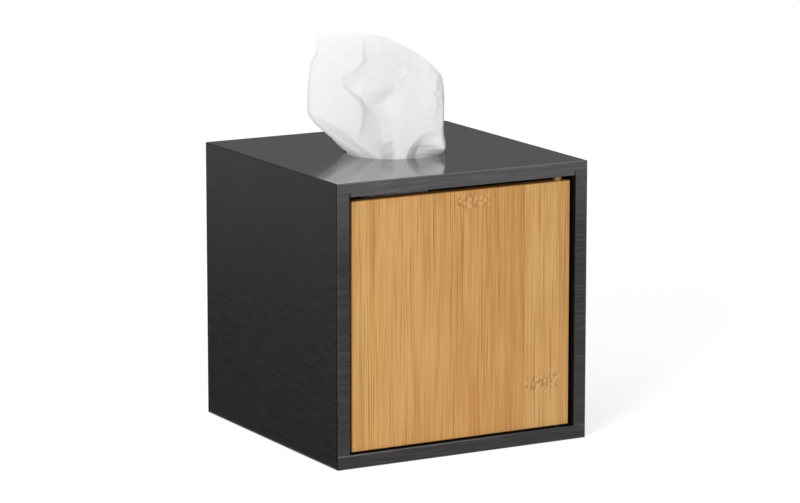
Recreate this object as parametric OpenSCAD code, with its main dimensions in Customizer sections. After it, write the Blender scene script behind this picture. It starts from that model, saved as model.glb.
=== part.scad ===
// Tissue box holder: a cube of black painted boards with an inset bamboo pivot door.
// The case stands on its bottom board, with the origin at the middle of the underside.
// The door closes the front, towards -Y. Sizes are in millimetres and angles in degrees.

/* [Case] */
// Width of the case
case_w = 140; // [120:1:200]
// Depth of the case
case_d = 140; // [120:1:200]
// Height of the case
case_h = 140; // [120:1:200]
// Thickness of the top, bottom and side boards
board_t = 7; // [6:0.5:12]
// Depth of the rabbets in which the side boards stand
rabbet_depth = 2.3; // [1:0.1:4]
// Thickness of the back panel
back_t = 4; // [3:0.5:6]
// How far the back panel laps into each board
back_lap = 3.5; // [2:0.1:4.5]
// Glue gap round the edge of the back panel
back_glue_gap = 0.15; // [0.1:0.05:0.4]
// Rounding of the outer edges of the case
edge_r = 0.8; // [0.4:0.1:2]
// Easing of the long edges of each single board
board_ease = 0.35; // [0.2:0.05:0.6]

/* [Tissue hole] */
// Radius of the round hole in the top board
hole_r = 24.6; // [18:0.2:34]
// Rounding of the hole's upper rim
rim_r = 0.6; // [0.3:0.1:1.5]

/* [Door] */
// Thickness of the door
door_t = 8; // [6:0.5:11]
// How far the door's face lies behind the front edges of the boards
door_recess = 2; // [0.5:0.5:6]
// Gap between the door's free edge and the left board
latch_gap = 1.9; // [1:0.1:4]
// Gap above the door
top_gap = 2.5; // [1:0.1:4]
// Gap below the door
bottom_gap = 0.7; // [0.4:0.1:3]
// Room that the door's corner has as it swings past the right board
swing_room = 0.5; // [0.3:0.1:2]
// Easing of the door's edges
door_ease = 0.5; // [0.2:0.1:1]

/* [Pivots] */
// Diameter of the pivot dowels
dowel_d = 4; // [3:0.5:5]
// Distance of the pivot axis from the door's hinge edge
pivot_inset = 5; // [4:0.5:10]
// Length of each dowel that is glued into the door
dowel_seat = 12; // [8:1:25]
// Wood left over the end of each blind pivot hole
pivot_cover = 2.5; // [1.5:0.1:4]
// Radial clearance of a dowel in its board
dowel_run = 0.05; // [0.02:0.01:0.1]
// Radial glue film round a dowel in the door
dowel_glue = 0.02; // [0.01:0.01:0.05]
// Room between a dowel's end and the bottom of its hole
dowel_end_gap = 0.3; // [0.2:0.1:1]
// Bevel on the ends of the dowels
dowel_bevel = 0.3; // [0.1:0.1:0.8]

/* [Catch] */
// Width of the stop block
stop_w = 8; // [7:0.5:14]
// Depth of the stop block
stop_d = 9; // [7:0.5:16]
// Height of the stop block
stop_h = 26; // [16:1:50]
// Height of the middle of the stop block above the inside floor
stop_rise = 63; // [30:1:80]
// Room between the closed door and the stop block
stop_gap = 0.3; // [0.2:0.1:1]
// Diameter of the catch magnet
magnet_d = 5; // [3:0.5:6]
// Length of the catch magnet
magnet_l = 5; // [3:0.5:6]
// Diameter of the steel strike disc
strike_d = 6.5; // [4:0.5:7]
// Thickness of the steel strike disc
strike_t = 1; // [0.5:0.25:2]
// Glue film round the magnet and the strike disc
catch_glue = 0.02; // [0.01:0.01:0.05]

/* [Tissues] */
// Height of the stack of folded tissues
stack_h = 62; // [20:1:80]
// Room between the stack and each side board
stack_side_room = 8; // [3:0.5:25]
// Room between the stack and the back panel
stack_back_room = 4; // [2:0.5:20]
// Room between the stop block and the stack
stack_front_room = 3; // [1:0.5:20]
// Rounding of the stack's folded edges
stack_fold_r = 3; // [1:0.5:6]
// How high the pulled tissue stands above the case
tissue_rise = 59.5; // [30:0.5:90]
// Greatest width of the pulled tissue
tissue_spread = 68.5; // [52:0.5:90]
// Greatest thickness of the pulled tissue
tissue_depth = 34; // [20:1:44]
// Radius of the gathered neck between the stack and the hole
neck_r = 14; // [8:0.5:16]
// Radius at which the neck spreads out on the stack
foot_r = 34; // [20:1:45]
// Room between the tissue and the front rim of the hole
throat_room = 0.6; // [0.3:0.1:3]
// Turn of the pulled tissue's width from the front of the case
tissue_turn = -29; // [-60:1:60]

/* [Hidden] */

// Facets of a round bore or shaft, and of a small rounded edge
bore_fn = 96;
edge_fn = 48;
// How far a cutting shape runs past the face that it cuts
cut = 1;

// Faces of the case and of its inside
side_x = case_w / 2;
front_y = -case_d / 2;
back_y = case_d / 2;
inner_x = side_x - board_t;
floor_z = board_t;
ceiling_z = case_h - board_t;
panel_y = back_y - back_t;

// Thickness of the lips that cover the ends of the side boards
lip_t = board_t - rabbet_depth;

// Door faces, with the hinge gap that its thickness needs to swing past the right board
swing_r = sqrt(pow(pivot_inset, 2) + pow(door_t / 2, 2));
hinge_gap = swing_r - pivot_inset + swing_room;
door_left = -inner_x + latch_gap;
door_right = inner_x - hinge_gap;
door_low = floor_z + bottom_gap;
door_high = ceiling_z - top_gap;
door_front = front_y + door_recess;
door_back = door_front + door_t;
pivot_x = door_right - pivot_inset;
pivot_y = (door_front + door_back) / 2;
pivot_depth = board_t - pivot_cover;

// Stop block, glued to the left board behind the door's free edge
stop_front = door_back + stop_gap;
stop_back = stop_front + stop_d;
stop_low = floor_z + stop_rise - stop_h / 2;
catch_x = -inner_x + stop_w / 2;
catch_z = floor_z + stop_rise;

// Stack of folded tissues on the inside floor
stack_x = inner_x - stack_side_room;
stack_front = stop_back + stack_front_room;
stack_back = panel_y - stack_back_room;
stack_top = floor_z + stack_h;

// Room in the hole for the gathered tissue, which leaves the back of the hole free
throat_r = hole_r - throat_room;
throat_back = throat_r / 2;

// Rings of the tissue's skin below and above the top of the case, and points round each ring
neck_rings = 14;
puff_rings = 22;
ring_points = 48;
// Pleats round the neck, and how deep they are as a share of the radius
pleats = 9;
neck_pleat = 0.22;
throat_pleat = 0.05;
// Half thickness at the tissue's closed top edge
top_edge_t = 1;

// Each level of the puff: share of the rise, then reach to the left and right as shares
// of the spread, then reach to the front and back as shares of the thickness
puff_levels = [
    [0.08, 0.41, 0.37, 0.62, 0.38],
    [0.17, 0.50, 0.365, 0.59, 0.42],
    [0.25, 0.57, 0.366, 0.56, 0.45],
    [0.31, 0.622, 0.37, 0.53, 0.47],
    [0.38, 0.626, 0.374, 0.50, 0.47],
    [0.56, 0.618, 0.37, 0.42, 0.42],
    [0.65, 0.607, 0.35, 0.36, 0.37],
    [0.75, 0.595, 0.28, 0.29, 0.31],
    [0.86, 0.56, 0.14, 0.20, 0.22],
    [0.95, 0.54, -0.04, 0.11, 0.12],
    [0.98, 0.53, -0.10, 0.06, 0.06],
    [1.00, 0.36, -0.17, 0.03, 0.03]
];

// Height, reach to the left, right, front and back, and pleat depth at each level of the tissue
tissue_levels = concat(
    [
        [stack_top, foot_r, foot_r, foot_r, foot_r, neck_pleat],
        [stack_top + 4, 0.75 * foot_r, 0.75 * foot_r, 0.75 * foot_r, 0.7 * foot_r, neck_pleat],
        [stack_top + 12, neck_r * 1.15, neck_r * 1.15, neck_r * 1.1, neck_r, neck_pleat],
        [stack_top + 24, neck_r, neck_r, neck_r, neck_r * 0.85, neck_pleat],
        [ceiling_z - 14, neck_r, neck_r, neck_r, neck_r * 0.85, neck_pleat],
        [ceiling_z, throat_r * 0.86, throat_r * 0.86, throat_r * 0.9, throat_back, throat_pleat],
        [case_h - rim_r, throat_r, throat_r, throat_r, throat_back, throat_pleat],
        [case_h + 1, throat_r, throat_r, throat_r, throat_back, throat_pleat]
    ],
    [
        for (row = puff_levels) [
            case_h + row[0] * tissue_rise,
            row[1] * tissue_spread,
            row[2] * tissue_spread,
            max(row[3] * tissue_depth, top_edge_t),
            max(row[4] * tissue_depth, top_edge_t),
            0
        ]
    ]
);

// Folds in the front of the puff: share of the rise and of the spread for each end,
// then half width as a share of the spread, then depth as a share of the thickness
puff_folds = [
    [[0.80, -0.21], [0.62, -0.37], 0.06, 0.10],
    [[0.62, -0.37], [0.45, -0.24], 0.06, 0.12],
    [[0.45, -0.16], [0.02, -0.15], 0.09, 0.16],
    [[0.10, 0.20], [0.02, 0.22], 0.13, 0.14]
];

// Reach or pleat depth of the tissue at a height
function tissue_at(z, column) =
    lookup(z, [for (row = tissue_levels) [row[0], row[column]]]);

// Distance from a point to the line between two points
function from_line(p, a, b) =
    let (
        along = b - a,
        share = max(0, min(1, ((p - a) * along) / (along * along)))
    )
    norm(p - a - share * along);

// Depth of all folds at a place on the front of the puff
function fold_at(s, z) = tissue_depth * max([
    for (fold = puff_folds)
        let (
            size = [tissue_rise, tissue_spread],
            place = [z - case_h, s],
            low_end = [fold[0][0] * size[0], fold[0][1] * size[1]],
            high_end = [fold[1][0] * size[0], fold[1][1] * size[1]],
            off = from_line(place, low_end, high_end) / (fold[2] * size[1])
        )
        off < 1 ? fold[3] * pow(cos(90 * off), 2) : 0
]);

// Point on the tissue's skin at a height and an angle round it
function tissue_point(z, a) =
    let (
        left = tissue_at(z, 1),
        right = tissue_at(z, 2),
        round_a = pow(abs(cos(a)), 0.9) * sign(cos(a)),
        round_b = pow(abs(sin(a)), 0.9) * sign(sin(a)),
        reach = sin(a) > 0 ? tissue_at(z, 3) : tissue_at(z, 4),
        pleat = 1 - tissue_at(z, 5) * (1 - cos(pleats * a)) / 2,
        s = (right - left) / 2 + round_a * pleat * (right + left) / 2,
        dip = z > case_h + 1 && sin(a) > 0 ? fold_at(s, z) * sin(a) : 0,
        t = round_b * pleat * reach - min(dip, 0.6 * abs(round_b) * reach)
    )
    [
        s * cos(tissue_turn) + t * sin(tissue_turn),
        s * sin(tissue_turn) - t * cos(tissue_turn),
        z
    ];

// Heights of the rings, closer together where the puff opens and closes
tissue_rings = concat(
    [for (i = [0 : neck_rings - 1]) stack_top + (case_h - stack_top) * sin(90 * i / neck_rings)],
    [for (i = [0 : puff_rings]) case_h + tissue_rise * sin(90 * i / puff_rings)]
);

// Rectangle from the origin with rounded corners
module rounded_rect(w, h, r) {
    translate([r, 0])
        square([w - 2 * r, h]);
    translate([0, r])
        square([w, h - 2 * r]);
    for (x = [r, w - r], y = [r, h - r])
        translate([x, y])
            circle(r = r, $fn = edge_fn);
}

// Box between two corners with every edge rounded
module eased_box(low, high, r) {
    size = high - low;
    translate(low)
        intersection() {
            linear_extrude(height = size[2])
                rounded_rect(size[0], size[1], r);
            translate([0, size[1], 0])
                rotate([90, 0, 0])
                    linear_extrude(height = size[1])
                        rounded_rect(size[0], size[2], r);
            rotate([90, 0, 90])
                linear_extrude(height = size[0])
                    rounded_rect(size[1], size[2], r);
        }
}

// Outside of the whole case, to which the outer edges of the boards are rounded
module case_outside() {
    eased_box([-side_x, front_y, 0], [side_x, back_y, case_h], edge_r);
}

// Board across the case, with only its long edges eased, so that its ends meet the side boards flush
module cross_board(low_z, high_z) {
    intersection() {
        case_outside();
        translate([-side_x, front_y, low_z])
            rotate([90, 0, 90])
                linear_extrude(height = 2 * side_x)
                    rounded_rect(case_d, high_z - low_z, board_ease);
    }
}

// Space that the back panel takes out of the boards
module back_rabbet() {
    reach_x = inner_x + back_lap + back_glue_gap;
    low_z = floor_z - back_lap - back_glue_gap;
    high_z = ceiling_z + back_lap + back_glue_gap;
    translate([-reach_x, panel_y, low_z])
        cube([2 * reach_x, back_t + cut, high_z - low_z]);
}

// Rabbet across a board's end for a side board, open towards the inside of the case
module side_rabbet(side, inner_z, away) {
    translate([
        side > 0 ? inner_x : -side_x - cut,
        front_y - cut,
        away > 0 ? inner_z - cut : inner_z - rabbet_depth
    ])
        cube([board_t + cut, case_d + 2 * cut, rabbet_depth + cut]);
}

// Blind hole for a pivot dowel, from a board's inner face
module pivot_hole(inner_z, away) {
    translate([pivot_x, pivot_y, away > 0 ? inner_z - cut : inner_z - pivot_depth])
        cylinder(r = dowel_d / 2 + dowel_run, h = pivot_depth + cut, $fn = bore_fn);
}

// Round hole through the top board, with its upper rim rounded
module tissue_hole() {
    translate([0, 0, ceiling_z - cut])
        cylinder(r = hole_r, h = board_t + 2 * cut, $fn = 2 * bore_fn);
    translate([0, 0, case_h - rim_r])
        rotate_extrude($fn = 2 * bore_fn)
            difference() {
                square([hole_r + rim_r, rim_r + cut]);
                translate([hole_r + rim_r, 0])
                    circle(r = rim_r, $fn = edge_fn);
            }
}

module top_board() {
    color("#3b3b3e")
        difference() {
            cross_board(ceiling_z, case_h);
            side_rabbet(-1, ceiling_z, 1);
            side_rabbet(1, ceiling_z, 1);
            back_rabbet();
            tissue_hole();
            pivot_hole(ceiling_z, 1);
        }
}

module bottom_board() {
    color("#38383b")
        difference() {
            cross_board(0, floor_z);
            side_rabbet(-1, floor_z, -1);
            side_rabbet(1, floor_z, -1);
            back_rabbet();
            pivot_hole(floor_z, -1);
        }
}

// Side board that stands in the rabbets of the top and bottom boards, with only its upright edges eased
module side_board(side) {
    difference() {
        intersection() {
            case_outside();
            translate([side > 0 ? inner_x : -side_x, front_y, lip_t])
                linear_extrude(height = case_h - 2 * lip_t)
                    rounded_rect(board_t, case_d, board_ease);
        }
        back_rabbet();
    }
}

module left_side() {
    color("#343437")
        side_board(-1);
}

module right_side() {
    color("#343437")
        side_board(1);
}

module back_panel() {
    reach_x = inner_x + back_lap;
    color("#303033")
        eased_box(
            [-reach_x, panel_y, floor_z - back_lap],
            [reach_x, back_y, ceiling_z + back_lap],
            board_ease
        );
}

module door_stop_block() {
    color("#303033")
        difference() {
            eased_box(
                [-inner_x, stop_front, stop_low],
                [-inner_x + stop_w, stop_back, stop_low + stop_h],
                board_ease
            );
            translate([catch_x, stop_front + magnet_l, catch_z])
                rotate([90, 0, 0])
                    cylinder(r = magnet_d / 2 + catch_glue, h = magnet_l + cut, $fn = bore_fn);
        }
}

module catch_magnet() {
    color("#c9ccd0")
        translate([catch_x, stop_front + magnet_l, catch_z])
            rotate([90, 0, 0])
                cylinder(d = magnet_d, h = magnet_l, $fn = bore_fn);
}

module tissue_stack() {
    color("#f4f4f2")
        translate([-stack_x, stack_front, floor_z])
            rotate([90, 0, 90])
                linear_extrude(height = 2 * stack_x)
                    rounded_rect(stack_back - stack_front, stack_h, stack_fold_r);
}

// One closed skin from the stack, up through the hole, to the puff's closed top edge
module pulled_tissue() {
    rings = len(tissue_rings);
    points = [
        for (z = tissue_rings, i = [0 : ring_points - 1])
            tissue_point(z, 360 * i / ring_points)
    ];
    skin = [
        for (k = [0 : rings - 2], i = [0 : ring_points - 1])
            let (
                a = k * ring_points + i,
                b = k * ring_points + (i + 1) % ring_points
            )
            each [[a, b, b + ring_points], [a, b + ring_points, a + ring_points]]
    ];
    foot = [for (i = [ring_points - 1 : -1 : 0]) i];
    top = [for (i = [0 : ring_points - 1]) (rings - 1) * ring_points + i];
    color("#f7f7f7")
        polyhedron(points = points, faces = concat(skin, [foot, top]), convexity = 6);
}

module door_panel() {
    color("#cf9f5f")
        difference() {
            eased_box(
                [door_left, door_front, door_low],
                [door_right, door_back, door_high],
                door_ease
            );
            for (z = [door_low - cut, door_high - dowel_seat])
                translate([pivot_x, pivot_y, z])
                    cylinder(r = dowel_d / 2 + dowel_glue, h = dowel_seat + cut, $fn = bore_fn);
            translate([catch_x, door_back + cut, catch_z])
                rotate([90, 0, 0])
                    cylinder(r = strike_d / 2 + catch_glue, h = strike_t + cut, $fn = bore_fn);
        }
}

// Round wooden pin with bevelled ends
module pivot_dowel(low, high) {
    r = dowel_d / 2;
    color("#c79a66")
        translate([pivot_x, pivot_y, 0])
            rotate_extrude($fn = bore_fn)
                polygon([
                    [0, low],
                    [r - dowel_bevel, low],
                    [r, low + dowel_bevel],
                    [r, high - dowel_bevel],
                    [r - dowel_bevel, high],
                    [0, high]
                ]);
}

module upper_pivot_dowel() {
    pivot_dowel(door_high - dowel_seat, ceiling_z + pivot_depth - dowel_end_gap);
}

module lower_pivot_dowel() {
    pivot_dowel(floor_z - pivot_depth + dowel_end_gap, door_low + dowel_seat);
}

module strike_disc() {
    color("#b8bbbf")
        translate([catch_x, door_back, catch_z])
            rotate([90, 0, 0])
                cylinder(d = strike_d, h = strike_t, $fn = bore_fn);
}

top_board();
bottom_board();
left_side();
right_side();
back_panel();
door_stop_block();
catch_magnet();
tissue_stack();
pulled_tissue();
door_panel();
upper_pivot_dowel();
lower_pivot_dowel();
strike_disc();
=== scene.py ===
"""Tissue box holder: black painted boards, an inset bamboo pivot door and a tissue pulled up at the top."""

import math

import bpy
import numpy as np
from mathutils import Matrix, Vector
from mathutils.geometry import delaunay_2d_cdt


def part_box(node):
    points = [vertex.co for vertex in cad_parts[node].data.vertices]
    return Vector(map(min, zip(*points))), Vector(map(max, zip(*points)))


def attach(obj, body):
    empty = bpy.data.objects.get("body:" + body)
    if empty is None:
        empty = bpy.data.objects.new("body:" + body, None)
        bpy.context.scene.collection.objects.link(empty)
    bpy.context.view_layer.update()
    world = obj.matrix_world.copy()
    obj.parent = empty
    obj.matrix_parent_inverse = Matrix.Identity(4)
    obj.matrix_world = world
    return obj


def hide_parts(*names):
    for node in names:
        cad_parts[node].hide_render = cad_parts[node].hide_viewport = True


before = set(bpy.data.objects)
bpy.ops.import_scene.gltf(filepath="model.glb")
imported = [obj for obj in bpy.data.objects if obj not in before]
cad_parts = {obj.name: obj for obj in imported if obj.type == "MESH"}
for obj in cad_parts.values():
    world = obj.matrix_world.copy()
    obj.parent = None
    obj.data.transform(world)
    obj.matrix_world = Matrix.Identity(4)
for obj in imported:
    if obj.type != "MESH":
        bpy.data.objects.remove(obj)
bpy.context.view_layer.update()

MM = 0.001
scene = bpy.context.scene

# Camera, at the photo's viewing angle
VIEW_AZIMUTH = math.radians(-29.14)
VIEW_ELEVATION = math.radians(11.11)
VIEW_DISTANCE = 1.9789
VIEW_LENS = 176.59
VIEW_CLIP = (0.01, 50)
AIM_ACROSS = 0.00298
AIM_UP = 0.08731


def look_at_holder():
    """The camera, aimed past the middle of the case's base by a little to the right and up."""
    a, e = VIEW_AZIMUTH, VIEW_ELEVATION
    back = Vector((math.sin(a) * math.cos(e), -math.cos(a) * math.cos(e), math.sin(e)))
    right = Vector((math.cos(a), math.sin(a), 0))
    up = back.cross(right)
    camera = bpy.data.objects.new("camera", bpy.data.cameras.new("camera"))
    scene.collection.objects.link(camera)
    camera.data.lens = VIEW_LENS
    camera.data.clip_start, camera.data.clip_end = VIEW_CLIP
    turn = Matrix((right, up, back)).transposed().to_4x4()
    place = right * AIM_ACROSS + up * AIM_UP + back * VIEW_DISTANCE
    camera.matrix_world = Matrix.Translation(place) @ turn
    scene.camera = camera


look_at_holder()

# Sizes read from the frame
board_names = ("bottom_board", "left_side", "right_side", "top_board", "back_panel")
board_boxes = [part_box(name) for name in board_names]
case_low = Vector([min(low[i] for low, high in board_boxes) for i in range(3)])
case_high = Vector([max(high[i] for low, high in board_boxes) for i in range(3)])
door_low, door_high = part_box("door_panel")
stack_low, stack_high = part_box("tissue_stack")
inner_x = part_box("right_side")[0].x
inside_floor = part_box("bottom_board")[1].z
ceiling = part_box("top_board")[0].z
seam_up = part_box("left_side")[1].z
seam_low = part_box("left_side")[0].z
case_top = case_high.z


# Finishes

class Socket:
    """An output in a finish's node tree. Arithmetic on it adds Math nodes."""

    def __init__(self, finish, output):
        self.finish = finish
        self.output = output

    def math(self, operation, *values):
        return self.finish.node("Math", {"operation": operation}, *values)

    def __add__(self, other):
        return self.math("ADD", self, other)

    def __sub__(self, other):
        return self.math("SUBTRACT", self, other)

    def __rsub__(self, other):
        return self.math("SUBTRACT", other, self)

    def __mul__(self, other):
        return self.math("MULTIPLY", self, other)

    def __truediv__(self, other):
        return self.math("DIVIDE", self, other)

    def __lt__(self, other):
        return self.math("LESS_THAN", self, other)

    def __abs__(self):
        return self.math("ABSOLUTE", self)

    __radd__ = __add__
    __rmul__ = __mul__

    def floor(self):
        return self.math("FLOOR", self)

    def least(self, other):
        return self.math("MINIMUM", self, other)

    def most(self, other):
        return self.math("MAXIMUM", self, other)

    def fade(self, start, end):
        """0 at start and 1 at end, with a smooth rise between them."""
        settings = {"interpolation_type": "SMOOTHSTEP"}
        return self.finish.node("MapRange", settings, self, start, end, 0.0, 1.0)


class Finish:
    """A procedural material for one of the holder's finishes."""

    def __init__(self, name):
        self.material = bpy.data.materials.new(name)
        self.material.use_nodes = True
        self.tree = self.material.node_tree
        self.tree.nodes.clear()

    @classmethod
    def over(cls, tree):
        """The same helpers for a node tree that is there already."""
        finish = cls.__new__(cls)
        finish.tree = tree
        return finish

    def node(self, kind, settings=None, *values, out=0, **named):
        """Adds a node, sets it up, feeds its inputs by order or by name, and gives one of its outputs."""
        made = self.tree.nodes.new(kind if "Node" in kind else "ShaderNode" + kind)
        for key, value in (settings or {}).items():
            if key == "steps":
                self._steps(made.color_ramp, value)
            else:
                setattr(made, key, value)
        feeds = list(enumerate(values)) + [(k.replace("_", " "), v) for k, v in named.items()]
        for key, value in feeds:
            if isinstance(value, Socket):
                self.tree.links.new(value.output, made.inputs[key])
            elif value is not None:
                made.inputs[key].default_value = value
        return Socket(self, made.outputs[out]) if made.outputs else None

    @staticmethod
    def _steps(ramp, colours):
        """Gives a ramp equal steps, one for each colour."""
        ramp.interpolation = "CONSTANT"
        while len(ramp.elements) < len(colours):
            ramp.elements.new(0.5)
        for i, (element, colour) in enumerate(zip(ramp.elements, colours)):
            element.position = i / len(colours)
            element.color = colour

    def place(self):
        return self.node("TexCoord", out="Object")

    def axes(self, vector):
        split = self.node("SeparateXYZ", None, vector)
        return [Socket(self, output) for output in split.output.node.outputs]

    def vector(self, x, y, z):
        return self.node("CombineXYZ", None, x, y, z)

    def noise(self, vector, scale, detail=3.0, roughness=0.5, distortion=0.0):
        return self.node("TexNoise", None, Vector=vector, Scale=scale, Detail=detail,
                         Roughness=roughness, Distortion=distortion)

    def mix(self, share, a, b):
        """Two colours mixed by a share from 0 to 1."""
        inputs_for_numbers_and_vectors = [None] * 5
        return self.node("Mix", {"data_type": "RGBA"}, share, *inputs_for_numbers_and_vectors, a, b, out=2)

    def surface(self, bump, bump_mm, through=None, **settings):
        """The shader with its relief, as the material's output.

        through is the share and the colour of the light that falls through a thin sheet."""
        relief = self.node("Bump", None, Strength=1.0, Distance=bump_mm * MM, Height=bump)
        result = self.node("BsdfPrincipled", None, Normal=relief, **settings)
        if through:
            share, colour = through
            result = self.node("MixShader", None, share, result, self.node("BsdfTranslucent", None, colour))
        self.node("OutputMaterial", None, result)
        return self.material


def srgb(code):
    """A hex colour as Blender's linear red, green, blue and alpha."""
    parts = [int(code[i:i + 2], 16) / 255 for i in (0, 2, 4)]
    return [c / 12.92 if c <= 0.04045 else ((c + 0.055) / 1.055) ** 2.4 for c in parts] + [1.0]


def weighed(weights, *parts):
    """The sum of the parts, each times its weight, and of the last weight by itself."""
    return sum((part * weight for part, weight in zip(parts, weights)), weights[-1])


# Black satin paint over wood, whose pores show as fine streaks along the grain

# The deepest black is painted shade inside the case and on the front, and the colour of the dark joint lines
PAINT_SHADE_AND_JOINTS = srgb("0a0a0b")
PAINT_DARK = srgb("1b1b1d")
PAINT_MID = srgb("272729")
PAINT_PALE = srgb("46464a")
# The next is painted light, paler towards the top of the front faces
PAINT_FRONT_LIT = srgb("464649")
# The palest is for painted highlights along the front's edges, and for the saw's pale streaks
PAINT_STREAKS_AND_HIGHLIGHT = srgb("8b8b90")

# Noise patterns in the paint: scale, detail, roughness and distortion
STREAKS = (900.0, 4.0, 0.6, 0.3)
PORES = (2600.0, 2.0, 0.5)
CLOUDS = (28.0, 3.0, 0.55)
RAGGED = (420.0, 3.0, 0.7)
SAW_MARKS = (700.0, 3.0, 0.6)
GRAIN_DRAWN_OUT = 0.06
SAW_DRAWN_OUT = 0.05

# Ranges of noise in which they show
STREAK_RANGE = (0.3, 0.75)
PORE_RANGE = (0.56, 0.72)
SAW_RANGE = (0.42, 0.7)
SIDE_RANGE = (0.35, 0.6)
FLOOR_RANGE = (0.3, 0.65)
END_RANGE = (0.3, 0.6)

# Widths of the painted highlight lines, the painted shade bands and the joint lines along the edges
EDGE_LINE = 0.75 * MM
EDGE_LINE_FULL = 0.2 * MM
FRONT_BAND = 0.4 * MM
SIDE_LINE_IN = 0.6 * MM
SIDE_LINE = (0.4 * MM, 0.1 * MM)
FLOOR_LINE_DOWN = 0.3 * MM
FLOOR_LINE = (0.5 * MM, 0.2 * MM)
CORNER_SIDE = (0.5 * MM, 0.35 * MM)
CORNER_FRONT = (1.1 * MM, 0.8 * MM)
JOINT_LINE = 0.22 * MM
SHOULDER_LINE = (0.484 * MM, 0.22 * MM)
SHOULDER_IN = 0.3 * MM

# How far beyond the room's sides the painted shade inside ends and is full, and where it ends above and below
SHADE_INSIDE_AT_SIDES = (0.4 * MM, 0.2 * MM)
SHADE_INSIDE_AT_CEILING = 0.2 * MM
SHADE_INSIDE_AT_FLOOR = 0.12 * MM

# How strongly each of them shows
PORE_SHOW = 0.16
TOP_HIGHLIGHT_SHOW = 0.35
SIDE_HIGHLIGHT_SHOW = 0.16
FLOOR_HIGHLIGHT_SHOW = (0.15, 0.45)
END_JOINT_SHOW = 0.7

# The heights between which the front edges grow paler, as painted light
FRONT_LIT_HEIGHTS = (0.095, 0.137)

# Roughness of the polished top and of the other faces, its weights for streaks, clouds and by itself, and
# the top's lacquer, with its weights for streaks and by itself
TOP_ROUGH = 0.09
SIDE_ROUGH = 0.42
ROUGH_WEIGHTS = (0.4, 0.2, 0.7)
TOP_LACQUER = 0.5
LACQUER_WEIGHTS = (1.2, 0.4)
LACQUER_ROUGH = 0.05

# Relief: its depth, its weights for streaks, pores and clouds, and how much of it the top, the front and all
# faces have
PAINT_RELIEF_MM = 0.05
RELIEF_WEIGHTS = (0.7, -0.8, 0.2, 0.0)
RELIEF_SHARES = (0.1, 0.6, 0.25)


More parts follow.
